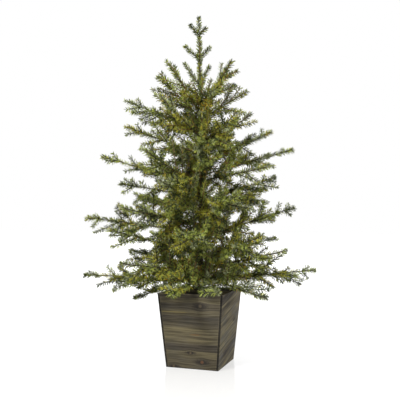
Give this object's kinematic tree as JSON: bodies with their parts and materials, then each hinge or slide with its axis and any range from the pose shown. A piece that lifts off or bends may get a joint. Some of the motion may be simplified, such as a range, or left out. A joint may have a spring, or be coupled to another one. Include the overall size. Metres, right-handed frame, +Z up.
{
  "type": "artificial potted spruce",
  "caption": "Slim artificial spruce with open tiers of needle sprays, standing in a tapered square planter of stained boards.",
  "frame": {"origin": "middle of the planter's flat underside", "axes": "+Z up along the trunk, -Y out of the planter's front board, +X to the right of someone facing that board"},
  "size_m": [0.7799, 0.7147, 1.203],
  "materials": {
    "boards": "grey-brown stained fir, matt",
    "fill": "near black, dull",
    "bark": "brown wrapped wire, matt",
    "needles": "mid and olive green, slightly glossy"
  },
  "bodies": {
    "root": {"planter_front": "boards", "planter_back": "boards", "planter_left": "boards", "planter_right": "boards", "planter_bottom": "boards", "planter_fill": "fill", "trunk": "bark", "bough_skirt_1": "bark", "bough_skirt_3": "bark", "bough_skirt_7": "bark", "bough_lower_2": "bark", "bough_lower_7": "bark", "bough_lower_8": "bark", "spray_skirt_1": "needles", "spray_skirt_2": "needles", "spray_skirt_3": "needles", "spray_skirt_4": "needles", "spray_skirt_5": "needles", "spray_skirt_6": "needles", "spray_skirt_7": "needles", "spray_skirt_8": "needles", "spray_skirt_9": "needles", "spray_skirt_10": "needles", "spray_skirt_11": "needles", "spray_lower_1": "needles", "spray_lower_2": "needles", "spray_lower_3": "needles", "spray_lower_4": "needles", "spray_lower_5": "needles", "spray_lower_6": "needles", "spray_lower_7": "needles", "spray_lower_8": "needles", "spray_middle_1": "needles", "spray_middle_2": "needles", "spray_middle_3": "needles", "spray_middle_4": "needles", "spray_middle_5": "needles", "spray_middle_6": "needles", "spray_middle_7": "needles", "spray_middle_8": "needles", "spray_upper_1": "needles", "spray_upper_2": "needles", "spray_upper_3": "needles", "spray_upper_4": "needles", "spray_upper_5": "needles", "spray_upper_6": "needles", "spray_upper_7": "needles", "spray_upper_8": "needles", "spray_crown_1": "needles", "spray_crown_2": "needles", "spray_crown_3": "needles", "spray_crown_4": "needles", "spray_crown_5": "needles", "spray_crown_6": "needles", "spray_crown_7": "needles", "spray_crown_8": "needles", "spray_crown_9": "needles", "spray_crown_10": "needles", "spray_crown_11": "needles", "spray_leader": "needles"}
  },
  "joints": []
}
